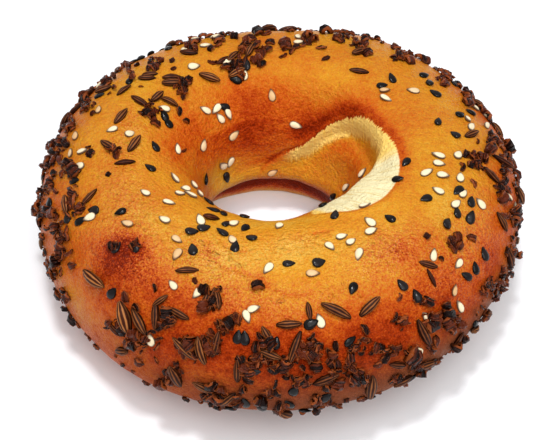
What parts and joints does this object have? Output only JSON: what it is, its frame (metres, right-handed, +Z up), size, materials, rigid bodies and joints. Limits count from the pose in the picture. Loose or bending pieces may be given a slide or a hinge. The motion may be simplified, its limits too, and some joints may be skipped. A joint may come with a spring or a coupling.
{
  "type": "everything bagel",
  "caption": "Baked dough ring with a glossy browned crust, topped with sesame, black sesame, fennel seeds and dried onion flakes.",
  "frame": {"origin": "centre of the flat underside, at the middle of the outline seen from above", "axes": "+Z up through the hole, +X to the right and -Y towards the viewer, with the stretched seam at the right of the hole"},
  "size_m": [0.117, 0.1132, 0.041],
  "materials": {
    "crust": "satin",
    "white_sesame": "satin",
    "black_sesame": "satin",
    "fennel": "matte",
    "onion": "gloss"
  },
  "bodies": {
    "root": {"bagel": "crust"}
  },
  "joints": []
}
